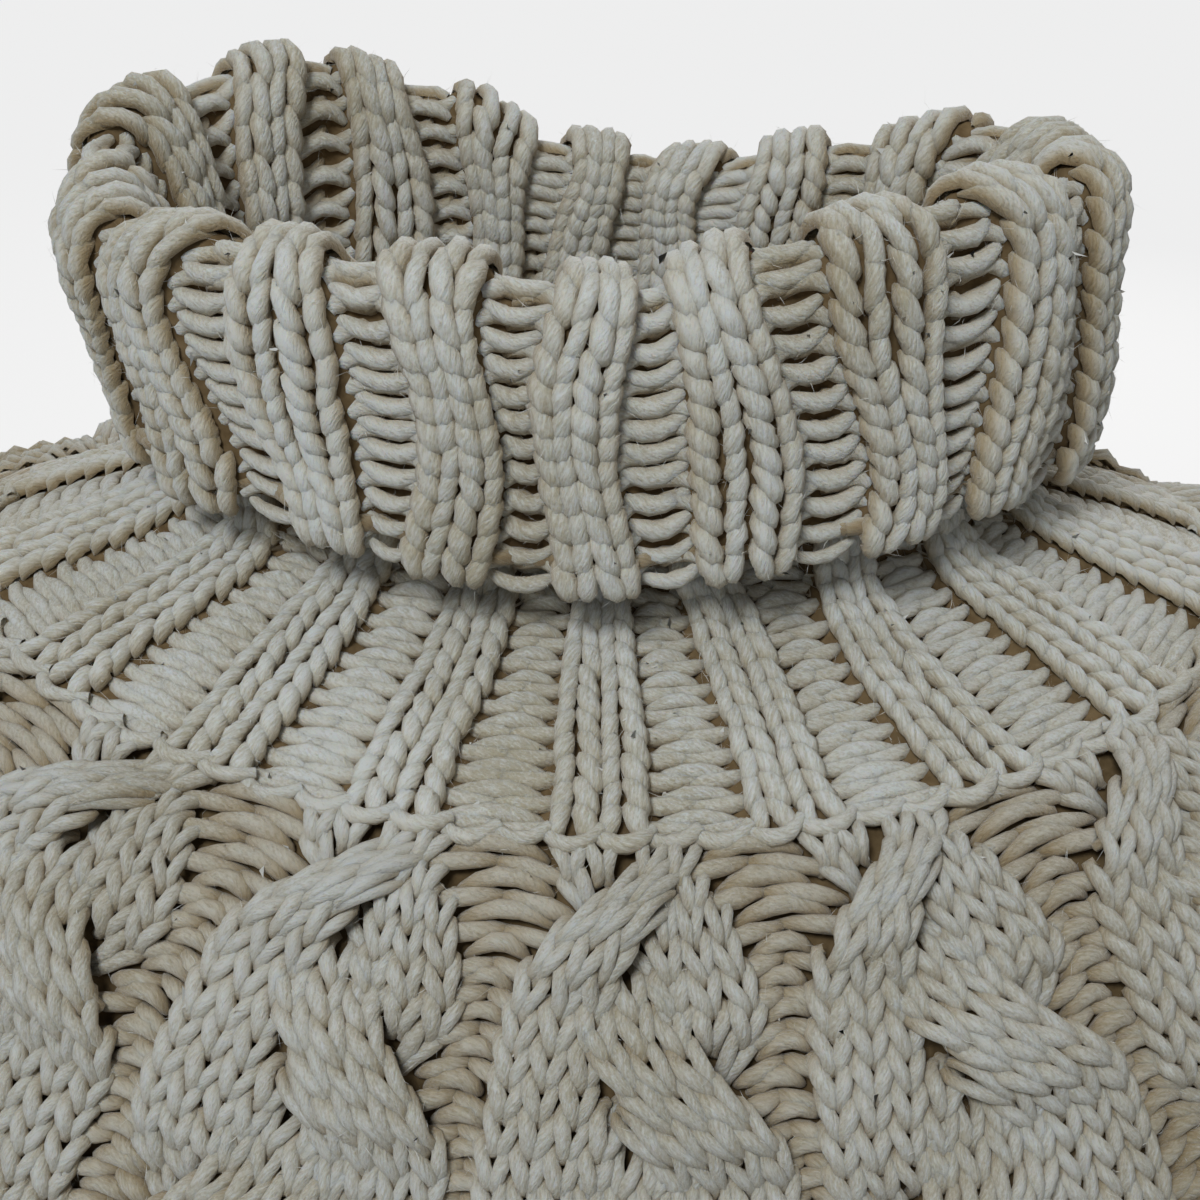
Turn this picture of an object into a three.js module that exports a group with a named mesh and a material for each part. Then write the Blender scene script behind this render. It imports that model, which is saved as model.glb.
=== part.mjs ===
// A hand-knitted poncho with a wide turned-down collar: one ribbed piece makes the collar and the
// round yoke, and one cabled piece hangs from it as the body. Both are tubes, open at neck and hem,
// and stand filled out as on a wearer who isn't there.
// Millimetres. +Z is up, the front faces -Y, and the origin is the middle of the neck's base.
import * as THREE from "three";

const RIBS = 18; // ribs round the collar and the yoke, each two stitches wide
const CABLES = 15; // cables round the body
const HALF_WALL = 1.5; // half of the cloth between its raised ribs
const SEAM_GAP = 0.7; // between the yoke's lower edge and the body's upper edge
const SEAM_BAND = 0.03; // the rows of the tables that count as on the seam

const COLLAR_RIB_RISE = 4.6; // the collar's ribs stand close, over deep gutters
const YOKE_RIB_RISE = 2.8; // the yoke's ribs are spread, over shallow gutters
const COLLAR_RIB_SHARE = 0.335; // half a rib's width, in spaces between ribs
const YOKE_RIB_SHARE = 0.265;
const COLLAR_TWIST = -0.5 / RIBS; // turns that the ribs shift between the yoke and the fold
const CHAIN_RISE = 1.6; // the linked row stands proud of the yoke's lower edge

const CABLE_RISE = 3.9; // a cable's strands over the purl between the cables
const CROSSING_RISE = 3.4; // and how much more where a strand crosses over another
const CABLE_PHASE = 0.15; // the front cable stands a little to +X of the middle
const CROSSING_FIRST = 14; // down the body to the first crossing of a cable's strands
const CROSSING_STEP = 26; // and on to the next
const CROSSING_GROWTH = 3.6; // more at each crossing
const CROSSING_HALF = 0.48; // half a crossing's length, in crossings
const STRAND_HALF = 0.42; // half a strand's width, in half widths of its cable
const STRAND_SIDE = 0.62; // from the cable's middle out to a strand at its side
const TOP_SIDE = 0.8; // where the first strand to cross starts at the yoke, towards that side
const HEM_SHARE = 0.4; // of the relief is left at the hem, where the cables flatten

// Rings of the cloth's middle. half_width is to the sides, front and back are the depths, and the
// three heights are those of the ring's front, sides and back.
const RING = { half_width: 0, front: 1, back: 2, z_front: 3, z_side: 4, z_back: 5 };

// From the yoke's lower edge in to the neck, up the stand, over the fold and down the turned part.
const YOKE_COLLAR = [
  // half_width, front, back, z_front, z_side, z_back
  [133, 95, 86, -23.5, -10, -12],
  [118, 83, 75, -15.5, -4.5, -5],
  [103, 70, 63, -8, 0.5, 1.5],
  [91, 58.5, 54, -0.5, 5, 8],
  [85.5, 52.5, 49, 9, 14, 16],
  [84.5, 51, 48, 28, 32, 33],
  [86, 51, 48, 45, 50, 50],
  [90, 52.5, 48.5, 57, 62, 60],
  [94.5, 56.5, 52, 62, 67, 65],
  [99, 61, 56.5, 57.5, 62, 60],
  [98.5, 63.5, 59, 45, 50, 48],
  [97, 65, 60, 30, 33, 31],
  [94.5, 67, 61, 15, 17, 17],
];
const NECK_AT = 3.2; // the rows of the table where the yoke turns up into the stand
const FOLD_AT = 8; // and where the collar folds over

// From the yoke's lower edge down over the shoulders to the hem.
const BODY = [
  // half_width, front, back, z_front, z_side, z_back
  [133, 95, 86, -23.5, -10, -12],
  [149, 108.5, 97.5, -36.5, -13, -22],
  [172, 123, 110, -58, -21.5, -40],
  [202, 139, 123, -92, -40, -68],
  [235, 156, 136, -136, -74, -108],
  [266, 172, 149, -190, -121, -160],
  [295, 187, 161, -255, -186, -228],
  [323, 201, 174, -345, -280, -325],
  [351, 216, 188, -450, -398, -441],
  [378, 231, 203, -560, -524, -556],
];

// Half a cable's width in spaces between cables, down the rows of BODY: the cables are drawn
// together at the yoke.
const CABLE_SHARES = [
  { at: 0, share: 0.29 },
  { at: 0.65, share: 0.32 },
  { at: 1.15, share: 0.38 },
  { at: 1.5, share: 0.41 },
  { at: 2.2, share: 0.435 },
  { at: 3.2, share: 0.42 },
  { at: 5, share: 0.4 },
  { at: 9, share: 0.4 },
];

// How far the fold stands above its ring, all round, at degrees from the front towards +X: it sags
// at the front and the back, and stands highest behind the -X side.
const FOLD_RISE = [
  { at: -175, rise: -2 },
  { at: -158, rise: 10 },
  { at: -138, rise: 16 },
  { at: -112, rise: 11 },
  { at: -88, rise: 5 },
  { at: -66, rise: -4 },
  { at: -36, rise: 0 },
  { at: -12, rise: 1 },
  { at: 4, rise: -1 },
  { at: 22, rise: 6 },
  { at: 42, rise: 10 },
  { at: 70, rise: 8 },
  { at: 95, rise: 7 },
  { at: 118, rise: 8 },
  { at: 142, rise: 1 },
  { at: 166, rise: -5 },
];
// How far the turned part's edge stands above its ring.
const EDGE_RISE = [
  { at: -180, rise: 3 },
  { at: -120, rise: 5 },
  { at: -66, rise: 1 },
  { at: -40, rise: 4 },
  { at: -4, rise: -1 },
  { at: 22, rise: 3 },
  { at: 42, rise: 7 },
  { at: 90, rise: 2 },
  { at: 140, rise: 4 },
];

// Hanging folds of the body: where each stands round the body, in degrees from the front, its half
// width in degrees, how far it comes out at the hem, and how far down the body it starts.
const FLUTES = [
  { at: -164, half: 13, out: 24, from: 0.5 },
  { at: -131, half: 11, out: 33, from: 0.42 },
  { at: -104, half: 8, out: 18, from: 0.52 },
  { at: -79, half: 9, out: 28, from: 0.4 },
  { at: -47, half: 11, out: 36, from: 0.46 },
  { at: -13, half: 13, out: 22, from: 0.55 },
  { at: 24, half: 11, out: 34, from: 0.44 },
  { at: 57, half: 10, out: 25, from: 0.5 },
  { at: 84, half: 8, out: 31, from: 0.38 },
  { at: 116, half: 11, out: 22, from: 0.48 },
  { at: 151, half: 11, out: 30, from: 0.45 },
];

const STRETCH = 0.01; // turns by which the stitches spread over the shoulders and close in front
const COLLAR_LEAN = 4.5; // how far the fold leans to -X
const RING_SAMPLES = 240;

function mix(a, b, share) {
  return a + (b - a) * share;
}

// 0 below the first value, 1 above the second, and a soft step between them.
function softStep(first, second, value) {
  const share = Math.min(1, Math.max(0, (value - first) / (second - first)));
  return share * share * (3 - 2 * share);
}

// A smooth row between the rows of a table of rings.
function ringRow(table, at) {
  const low = Math.min(table.length - 2, Math.max(0, Math.floor(at)));
  const f = at - low;
  const row = (k) => table[Math.min(table.length - 1, Math.max(0, k))];
  return table[low].map((_, c) => {
    const b = row(low)[c];
    const d = row(low + 1)[c];
    const a = low === 0 ? 2 * b - d : row(low - 1)[c];
    const e = low === table.length - 2 ? 2 * d - b : row(low + 2)[c];
    const linear = (d - a) * f;
    const square = (2 * a - 5 * b + 4 * d - e) * f * f;
    const cube = (3 * b - a - 3 * d + e) * f * f * f;
    return b + 0.5 * (linear + square + cube);
  });
}

// A smooth value round the garment from a table of degrees and values.
function roundValue(table, key, degrees) {
  const n = table.length;
  const turn = ((degrees + 180) % 360 + 360) % 360 - 180;
  let i = n - 1;
  for (let k = 0; k < n; k++) {
    if (table[k].at <= turn) i = k;
  }
  if (turn < table[0].at) i = n - 1;
  const here = table[i];
  const next = table[(i + 1) % n];
  const span = ((next.at - here.at) % 360 + 360) % 360;
  const gone = ((turn - here.at) % 360 + 360) % 360;
  return mix(here[key], next[key], softStep(0, 1, gone / span));
}

function ellipsePoint(row, angle) {
  const s = Math.sin(angle);
  const c = Math.cos(angle);
  const depth = c > 0 ? row[RING.front] : row[RING.back];
  const end = c > 0 ? row[RING.z_front] : row[RING.z_back];
  return new THREE.Vector3(
    row[RING.half_width] * s,
    -depth * c,
    mix(row[RING.z_side], end, c * c),
  );
}

// The angle at a share of a ring's length, so that the stitches are near enough as wide at the sides
// as in front. Turn 0 is the front and 0.25 the +X side.
const lengthTables = new Map();
function angleAt(table, at, turn) {
  const key = table.length + "/" + at.toFixed(5);
  if (!lengthTables.has(key)) {
    const row = ringRow(table, at);
    const lengths = [0];
    let last = ellipsePoint(row, 0);
    for (let i = 1; i <= RING_SAMPLES; i++) {
      const next = ellipsePoint(row, (i / RING_SAMPLES) * 2 * Math.PI);
      lengths.push(lengths[i - 1] + next.distanceTo(last));
      last = next;
    }
    lengthTables.set(key, lengths);
  }
  const lengths = lengthTables.get(key);
  const spread = turn - STRETCH * Math.sin(4 * Math.PI * turn);
  const share = ((spread % 1) + 1) % 1;
  const want = share * lengths[RING_SAMPLES];
  let low = 0;
  let high = RING_SAMPLES;
  while (high - low > 1) {
    const middle = (low + high) >> 1;
    if (lengths[middle] <= want) low = middle;
    else high = middle;
  }
  const f = (want - lengths[low]) / (lengths[high] - lengths[low]);
  return ((low + f) / RING_SAMPLES) * 2 * Math.PI;
}

// The middle of the ribbed piece's cloth.
function yokeCollarPoint(at, turn) {
  const angle = angleAt(YOKE_COLLAR, at, turn);
  const point = ellipsePoint(ringRow(YOKE_COLLAR, at), angle);
  const degrees = THREE.MathUtils.radToDeg(angle);
  const fold = softStep(4.6, FOLD_AT - 0.6, at) * softStep(11.6, FOLD_AT + 1, at);
  const edge = softStep(10, 12, at);
  point.x -= fold * COLLAR_LEAN;
  point.z += fold * roundValue(FOLD_RISE, "rise", degrees);
  point.z += edge * roundValue(EDGE_RISE, "rise", degrees);
  return point;
}

// The middle of the body's cloth, with its hanging folds.
function bodyPoint(at, turn) {
  const angle = angleAt(BODY, at, turn);
  const point = ellipsePoint(ringRow(BODY, at), angle);
  const degrees = THREE.MathUtils.radToDeg(angle);
  const down = at / (BODY.length - 1);
  let out = 0;
  for (const flute of FLUTES) {
    const away = ((degrees - flute.at + 540) % 360) - 180;
    const crest = Math.exp(-((away / flute.half) ** 2));
    const share = (flute.half * Math.sqrt(Math.PI)) / 360;
    out += flute.out * (crest - share) * softStep(flute.from, 1.05, down);
  }
  const flat = Math.hypot(point.x, point.y);
  point.x += (point.x / flat) * out;
  point.y += (point.y / flat) * out;
  return point;
}

// The cloth's outward direction, from points a little to each side.
function outward(pointAt, at, turn, last, upward) {
  const stepAt = 0.04;
  const stepTurn = 0.002;
  const up = pointAt(Math.min(last, at + stepAt), turn);
  up.sub(pointAt(Math.max(0, at - stepAt), turn));
  const round = pointAt(at, turn + stepTurn).sub(pointAt(at, turn - stepTurn));
  return (upward ? round.cross(up) : up.cross(round)).normalize();
}

// Columns of a ribbed ring: where each point stands round it, and how far it is raised (0 to 1).
// half is half a rib's width and first is where the first rib stands, both in spaces between ribs.
function ribColumns(half, first) {
  const columns = [];
  for (let k = first; k < RIBS + first; k++) {
    columns.push({ turn: (k - half) / RIBS, raised: 0 });
    columns.push({ turn: (k - 0.74 * half) / RIBS, raised: 0.86 });
    columns.push({ turn: k / RIBS, raised: 1 });
    columns.push({ turn: (k + 0.74 * half) / RIBS, raised: 0.86 });
    columns.push({ turn: (k + half) / RIBS, raised: 0 });
    columns.push({ turn: (k + 0.5) / RIBS, raised: 0.06 });
  }
  return columns;
}

function plainColumns(count, first) {
  const columns = [];
  for (let k = 0; k < count; k++) {
    columns.push({ turn: first + k / count, raised: 0 });
  }
  return columns;
}

// 1 at a cable's first crossing, 2 at its second, and so on.
function crossingPhase(down) {
  const a = CROSSING_GROWTH / 2;
  const b = CROSSING_STEP - 3 * a;
  const c = CROSSING_STEP - CROSSING_FIRST - 2 * a;
  return (Math.sqrt(b * b + 4 * a * (c + down)) - b) / (2 * a);
}

// The three strands of a cable, at a distance down it. middle is where a strand runs, in half widths
// of the cable, and over is 1 where it crosses over another and -1 where it passes behind. Each goes
// over to the left, back behind, over to the right and back behind, in six crossings.
function cableStrands(down) {
  return [0, 1, 2].map((strand) => {
    const phase = ((crossingPhase(down) - 0.5 + 2 * strand) % 6) + 0.5;
    const moved = (k) => softStep(k - CROSSING_HALF, k + CROSSING_HALF, phase);
    const near = (k) => softStep(0.5, 0.15, Math.abs(phase - k));
    const side = moved(3) + moved(4) - moved(1) - moved(6);
    const start = strand === 0 ? TOP_SIDE * softStep(16, 0, down) : 0;
    const over = near(1) + near(4) - near(3) - near(6);
    return { middle: STRAND_SIDE * (side + start), over };
  });
}

// How far a cable stands out, at a place across it. Places are in half widths of the cable, and left
// and right are its edges.
function cableRise(strands, across, left, right) {
  const edge = Math.min(1, (Math.min(across - left, right - across) + 0.08) / 0.38);
  const flank = Math.sqrt(1 - (1 - edge) ** 2);
  let top = 0;
  for (const strand of strands) {
    const away = (across - strand.middle) / (1.12 * STRAND_HALF);
    if (Math.abs(away) > 1) continue;
    const dome = Math.sqrt(1 - away * away);
    const own = CABLE_RISE * (0.7 * flank + 0.3 * dome) + CROSSING_RISE * strand.over * (0.4 + 0.6 * dome);
    top = Math.max(top, own);
  }
  return top;
}

const CABLE_ACROSS = [0, 0.09, 0.22, 0.36, 0.5, 0.64, 0.78, 0.91, 1]; // from its left edge to its right

// Half a cable's width at a row of BODY, in spaces between cables.
function cableShare(at) {
  const i = Math.max(1, CABLE_SHARES.findIndex((row) => row.at >= at));
  const a = CABLE_SHARES[i - 1];
  const b = CABLE_SHARES[i];
  return mix(a.share, b.share, (at - a.at) / (b.at - a.at));
}

// Columns of a ring of the body, with the cables' edges drawn in where their strands cross. scale
// lowers the relief.
function cableColumns(at, down, scale) {
  const half = cableShare(at);
  const strands = cableStrands(down);
  const middles = strands.map((strand) => strand.middle);
  const left = Math.min(...middles) - STRAND_HALF;
  const right = Math.max(...middles) + STRAND_HALF;
  const columns = [];
  for (let k = 0; k < CABLES; k++) {
    for (const share of CABLE_ACROSS) {
      const across = mix(left, right, share);
      const inside = share > 0 && share < 1;
      const raised = inside ? scale * cableRise(strands, across, left, right) : 0;
      columns.push({ turn: (k + CABLE_PHASE + half * across) / CABLES, raised });
    }
    columns.push({ turn: (k + CABLE_PHASE + 0.5) / CABLES, raised: 0 });
  }
  return columns;
}

// At the seam both pieces are cut square along one direction, so that their edges run parallel.
function seamOutward(turn) {
  const yoke = outward(yokeCollarPoint, 0, turn, YOKE_COLLAR.length - 1, true);
  const body = outward(bodyPoint, 0, turn, BODY.length - 1, false);
  return yoke.add(body).normalize();
}

// One ring of points on one face of the cloth. side 1 is the outer face and -1 the inner one.
function faceRing(pointAt, at, last, upward, columns, side, rise, twist) {
  return columns.map((column) => {
    const turn = column.turn + twist;
    const atSeam = at < SEAM_BAND;
    const out = atSeam ? seamOutward(turn) : outward(pointAt, at, turn, last, upward);
    return pointAt(at, turn).add(out.multiplyScalar(side * (HALF_WALL + rise * column.raised)));
  });
}

// A closed tube wall from rings of points that run out over one face and back under the other. The
// rings may have different numbers of points.
function wallFromRings(rings, flip) {
  const positions = [];
  const firsts = [];
  for (const ring of rings) {
    firsts.push(positions.length / 3);
    for (const p of ring) positions.push(p.x, p.y, p.z);
  }
  const faces = [];
  const addFace = (a, b, c) => {
    if (flip) faces.push(a, c, b);
    else faces.push(a, b, c);
  };
  rings.forEach((ring, r) => {
    const nextRing = (r + 1) % rings.length;
    const n = ring.length;
    const m = rings[nextRing].length;
    const here = (i) => firsts[r] + (i % n);
    const there = (j) => firsts[nextRing] + (j % m);
    let i = 0;
    let j = 0;
    while (i < n || j < m) {
      if (j >= m || (i < n && (i + 1) * m <= (j + 1) * n)) {
        addFace(here(i), here(i + 1), there(j));
        i++;
      } else {
        addFace(here(i), there(j + 1), there(j));
        j++;
      }
    }
  });
  const geometry = new THREE.BufferGeometry();
  geometry.setAttribute("position", new THREE.Float32BufferAttribute(positions, 3));
  geometry.setIndex(faces);
  geometry.computeVertexNormals();
  return geometry;
}

function twistAt(at) {
  return COLLAR_TWIST * softStep(NECK_AT, FOLD_AT, at);
}

// The ribbed piece: ribs stand up on the yoke's outer face and on the collar's showing face, which
// is the other face of the same cloth, so that its ribs are the backs of the yoke's gutters.
function buildYokeCollar() {
  const last = YOKE_COLLAR.length - 1;
  const plainCount = RIBS * 2;
  const start = SEAM_GAP / 2 / 15;
  const make = (at, columns, side, rise) =>
    faceRing(yokeCollarPoint, at, last, true, columns, side, rise, twistAt(at));
  const yokeRibs = ribColumns(YOKE_RIB_SHARE, 0);
  const collarRibs = ribColumns(COLLAR_RIB_SHARE, 0.5);
  const plain = plainColumns(plainCount, -0.3 / RIBS);
  const rings = [];
  const chainRaised = 1 + CHAIN_RISE / YOKE_RIB_RISE;
  const chain = yokeRibs.map((column) => ({ turn: column.turn, raised: chainRaised }));
  rings.push(make(start, yokeRibs, 1, YOKE_RIB_RISE * 0.4));
  rings.push(make(start + 0.12, chain, 1, YOKE_RIB_RISE));
  rings.push(make(start + 0.3, yokeRibs, 1, YOKE_RIB_RISE));
  for (const at of [1.2, 2.1, 2.9]) rings.push(make(at, yokeRibs, 1, YOKE_RIB_RISE));
  for (const at of [3.6, 4.6, 5.8, 7, 7.6, 8, 8.4, 9, 10.2]) rings.push(make(at, plain, 1, 0));
  rings.push(make(last, collarRibs, 1, 0));
  const showing = [last, 11.7, 10.8, 9.9, 9.2, 8.6, 8, 7.4, 6.8, 5.8, 4.8, 3.8];
  for (const at of showing) {
    const rise = at === last ? COLLAR_RIB_RISE * 0.55 : COLLAR_RIB_RISE;
    rings.push(make(at, collarRibs, -1, rise));
  }
  for (const at of [3, 1.8, 0.5]) rings.push(make(at, plain, -1, 0));
  rings.push(make(start, yokeRibs, -1, 0));
  return wallFromRings(rings, false);
}

// The cabled piece, plain inside, down to its bound-off hem.
function buildBody() {
  const last = BODY.length - 1;
  const start = SEAM_GAP / 2 / 18;
  const make = (at, columns, side, rise) =>
    faceRing(bodyPoint, at, last, false, columns, side, rise, 0);
  const downs = [];
  let down = 0;
  for (let i = 0; i <= last * 50; i++) {
    if (i > 0) down += bodyPoint(i / 50, 0.08).distanceTo(bodyPoint((i - 1) / 50, 0.08));
    downs.push(down);
  }
  const rings = [make(start, cableColumns(start, 0, 0.35), 1, 1)];
  for (let want = 6.5; want < down - 14; want += 6.7 + 0.057 * want) {
    const i = downs.findIndex((gone) => gone >= want);
    const at = (i - (downs[i] - want) / (downs[i] - downs[i - 1])) / 50;
    const scale = mix(0.75, 1, softStep(0, 12, want));
    rings.push(make(at, cableColumns(at, want, scale), 1, 1));
  }
  rings.push(make(last, cableColumns(last, down, HEM_SHARE), 1, 1));
  const plain = plainColumns(CABLES * 4, -0.36 / CABLES);
  for (const at of [last, 8.3, 7.6, 6.9, 6.2, 5.5, 4.8, 4.1, 3.4, 2.8, 2.2, 1.6, 1, 0.5]) {
    rings.push(make(at, plain, -1, 0));
  }
  rings.push(make(start, cableColumns(start, 0, 0), -1, 0));
  return wallFromRings(rings, true);
}

function wool(name, geometry, color) {
  const material = new THREE.MeshStandardMaterial({ color, roughness: 0.95, metalness: 0 });
  const mesh = new THREE.Mesh(geometry, material);
  mesh.name = name;
  return mesh;
}

const poncho = new THREE.Group();
poncho.name = "knitted_poncho";
poncho.add(wool("yoke_collar", buildYokeCollar(), 0xe9e2d0));
poncho.add(wool("body", buildBody(), 0xe7dfcc));

export default poncho;
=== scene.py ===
import math
from functools import partial

import bpy
import numpy as np
from mathutils import Matrix


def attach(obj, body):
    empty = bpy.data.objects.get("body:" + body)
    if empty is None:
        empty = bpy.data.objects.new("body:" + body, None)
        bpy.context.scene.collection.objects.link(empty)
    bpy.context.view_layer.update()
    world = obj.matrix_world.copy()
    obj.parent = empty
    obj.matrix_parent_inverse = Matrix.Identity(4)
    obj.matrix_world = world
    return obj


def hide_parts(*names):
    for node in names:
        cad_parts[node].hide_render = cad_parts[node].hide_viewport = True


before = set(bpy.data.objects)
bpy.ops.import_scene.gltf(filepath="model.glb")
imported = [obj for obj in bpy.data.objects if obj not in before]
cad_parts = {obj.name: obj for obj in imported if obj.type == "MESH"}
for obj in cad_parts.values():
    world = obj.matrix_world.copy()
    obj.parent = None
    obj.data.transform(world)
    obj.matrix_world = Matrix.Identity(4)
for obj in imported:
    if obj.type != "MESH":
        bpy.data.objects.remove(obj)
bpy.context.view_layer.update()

MM = 0.001
SEED = 7
MANY_SEEDS = 9999  # each bit of knitting draws its own seed below this

# ---------------------------------------------------------------- the cloth's form

RIBS = 18
CABLES = 15
CABLE_PHASE = 0.15  # spaces between cables from the front's middle to the first one
STRETCH = 0.01  # of a turn that the ribs crowd towards the sides
COLLAR_TWIST = -0.5 / RIBS  # of a turn that the ribs lean from the neck to the fold
COLLAR_LEAN = 4.5  # how far the fold leans to the wearer's right
NECK_AT = 3.2  # the row of YOKE_COLLAR where the yoke ends
FALL_AT = 6.6  # the row, inside the fold's crest, where fall_stitches starts
FOLD_AT = 8  # and the row behind the fold's crest

# half_width, front, back, z_front, z_side, z_back
YOKE_COLLAR = [
    [133, 95, 86, -23.5, -10, -12],
    [118, 83, 75, -15.5, -4.5, -5],
    [103, 70, 63, -8, 0.5, 1.5],
    [91, 58.5, 54, -0.5, 5, 8],
    [85.5, 52.5, 49, 9, 14, 16],
    [84.5, 51, 48, 28, 32, 33],
    [86, 51, 48, 45, 50, 50],
    [90, 52.5, 48.5, 57, 62, 60],
    [94.5, 56.5, 52, 62, 67, 65],
    [99, 61, 56.5, 57.5, 62, 60],
    [98.5, 63.5, 59, 45, 50, 48],
    [97, 65, 60, 30, 33, 31],
    [94.5, 67, 61, 15, 17, 17],
]
BODY = [
    [133, 95, 86, -23.5, -10, -12],
    [149, 108.5, 97.5, -36.5, -13, -22],
    [172, 123, 110, -58, -21.5, -40],
    [202, 139, 123, -92, -40, -68],
    [235, 156, 136, -136, -74, -108],
    [266, 172, 149, -190, -121, -160],
    [295, 187, 161, -255, -186, -228],
    [323, 201, 174, -345, -280, -325],
    [351, 216, 188, -450, -398, -441],
    [378, 231, 203, -560, -524, -556],
]
EDGE_AT = len(YOKE_COLLAR) - 1  # the collar's edge
HEM_AT = len(BODY) - 1
# degrees from the front towards +X, and the rise there
FOLD_RISE = [
    [-175, -2], [-158, 10], [-138, 16], [-112, 11], [-88, 5], [-66, -4], [-36, 0], [-12, 1],
    [4, -1], [22, 6], [42, 10], [70, 8], [95, 7], [118, 8], [142, 1], [166, -5],
]
EDGE_RISE = [
    [-180, 3], [-120, 5], [-66, 1], [-40, 4], [-4, -1], [22, 3], [42, 7], [90, 2], [140, 4],
]
# degrees from the front, half width in degrees, how far out at the hem, where down it starts
FLUTES = [
    [-164, 13, 24, 0.5], [-131, 11, 33, 0.42], [-104, 8, 18, 0.52], [-79, 9, 28, 0.4],
    [-47, 11, 36, 0.46], [-13, 13, 22, 0.55], [24, 11, 34, 0.44], [57, 10, 25, 0.5],
    [84, 8, 31, 0.38], [116, 11, 22, 0.48], [151, 11, 30, 0.45],
]


def soft_step(first, second, value):
    share = np.clip((value - first) / (second - first), 0, 1)
    return share * share * (3 - 2 * share)


def mix(a, b, share):
    return a + (b - a) * share


def ring_rows(table, at):
    """Smooth rows between the rows of a table of rings."""
    rows = np.asarray(table, float)
    n = len(rows)
    low = np.clip(np.floor(at).astype(int), 0, n - 2)
    f = (at - low)[:, None]
    b, d = rows[low], rows[low + 1]
    a = np.where((low == 0)[:, None], 2 * b - d, rows[np.maximum(low - 1, 0)])
    e = np.where((low == n - 2)[:, None], 2 * d - b, rows[np.minimum(low + 2, n - 1)])
    cubic = (d - a) * f + (2 * a - 5 * b + 4 * d - e) * f**2 + (3 * b - a - 3 * d + e) * f**3
    return b + 0.5 * cubic


def value_round(table, degrees):
    """A smooth value round the garment from a table of degrees and values."""
    knots = np.asarray(table, float)
    turn = (degrees + 180) % 360 - 180
    here = np.searchsorted(knots[:, 0], turn, side="right") - 1
    after = (here + 1) % len(knots)
    span = (knots[after, 0] - knots[here, 0]) % 360
    gone = (turn - knots[here, 0]) % 360
    return mix(knots[here, 1], knots[after, 1], soft_step(0, 1, gone / span))


def ellipse_points(rows, angle):
    s, c = np.sin(angle), np.cos(angle)
    width, front, back, z_front, z_side, z_back = (rows[:, k, None] for k in range(6))
    depth = np.where(c > 0, front, back)
    end = np.where(c > 0, z_front, z_back)
    return np.stack([width * s, -depth * c, mix(z_side, end, c * c)], axis=-1)


def collar_folds(points, at, degrees):
    """The fold leans to one side, and the fold and the edge rise and fall round the neck."""
    at = at[:, None]
    fold = soft_step(4.6, FOLD_AT - 0.6, at) * soft_step(11.6, FOLD_AT + 1, at)
    edge = soft_step(10, 12, at)
    points[..., 0] -= fold * COLLAR_LEAN
    points[..., 2] += fold * value_round(FOLD_RISE, degrees)
    points[..., 2] += edge * value_round(EDGE_RISE, degrees)
    return points


def body_folds(points, at, degrees):
    """Flutes that deepen towards the hem. The cloth between them draws in, so the hem keeps its girth."""
    down = at[:, None] / HEM_AT
    out = 0
    for place, half, most, start in FLUTES:
        away = (degrees - place + 540) % 360 - 180
        crest = np.exp(-((away / half) ** 2)) - half * math.sqrt(math.pi) / 360
        out = out + most * crest * soft_step(start, 1.05, down)
    flat = np.hypot(points[..., 0], points[..., 1])
    points[..., 0] *= 1 + out / flat
    points[..., 1] *= 1 + out / flat
    return points


class Cloth:
    """The middle of a piece's cloth, on a fine grid of rows and turns. length is each row's distance
    from row 0, as a mean all round, and girth is its way round."""

    SPARE = 0.3  # rows past each end, for the loops that hang over it

    def __init__(self, table, per_row, turns, folds, upward):
        last = len(table) - 1
        self.turns = turns
        self.at = np.linspace(-self.SPARE, last + self.SPARE, round((last + 2 * self.SPARE) * per_row) + 1)
        self.step = self.at[1] - self.at[0]
        rows = ring_rows(table, self.at)
        sample = np.linspace(0, 2 * math.pi, 361)
        ring = ellipse_points(rows, sample[None, :].repeat(len(rows), 0))
        gone = np.linalg.norm(np.diff(ring, axis=1), axis=2).cumsum(axis=1)
        turn = np.arange(turns) / turns
        spread = (turn - STRETCH * np.sin(4 * math.pi * turn)) % 1
        angle = np.array(
            [np.interp(spread * g[-1], np.concatenate([[0], g]), sample) for g in gone]
        )
        self.points = folds(ellipse_points(rows, angle), self.at, np.degrees(angle))
        up = np.gradient(self.points, axis=0)
        ahead = np.roll(self.points, -1, 1) - np.roll(self.points, 1, 1)
        out = np.cross(ahead, up) if upward else np.cross(up, ahead)
        self.out = out / np.linalg.norm(out, axis=2, keepdims=True)
        steps = np.diff(self.points, axis=1, append=self.points[:, :1])
        self.girth = np.linalg.norm(steps, axis=2).sum(1)
        rows_apart = np.linalg.norm(np.diff(self.points, axis=0), axis=2).mean(1)
        length = np.concatenate([[0], rows_apart.cumsum()])
        self.length = length - np.interp(0, self.at, length)

    def girth_at(self, at):
        return np.interp(at, self.at, self.girth)

    def place(self, at, turn, out):
        """Points on the cloth, moved out from its middle by a distance."""
        row = np.clip((at - self.at[0]) / self.step, 0, len(self.at) - 1.001)
        column = (turn % 1) * self.turns
        r, c = row.astype(int), column.astype(int) % self.turns
        fr, fc = (row - r)[..., None], (column - np.floor(column))[..., None]
        c2 = (c + 1) % self.turns

        def blend(grid):
            low = mix(grid[r, c], grid[r, c2], fc)
            high = mix(grid[r + 1, c], grid[r + 1, c2], fc)
            return mix(low, high, fr)

        normal = blend(self.out)
        normal /= np.linalg.norm(normal, axis=-1, keepdims=True)
        return blend(self.points) + np.asarray(out)[..., None] * normal, normal


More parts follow.
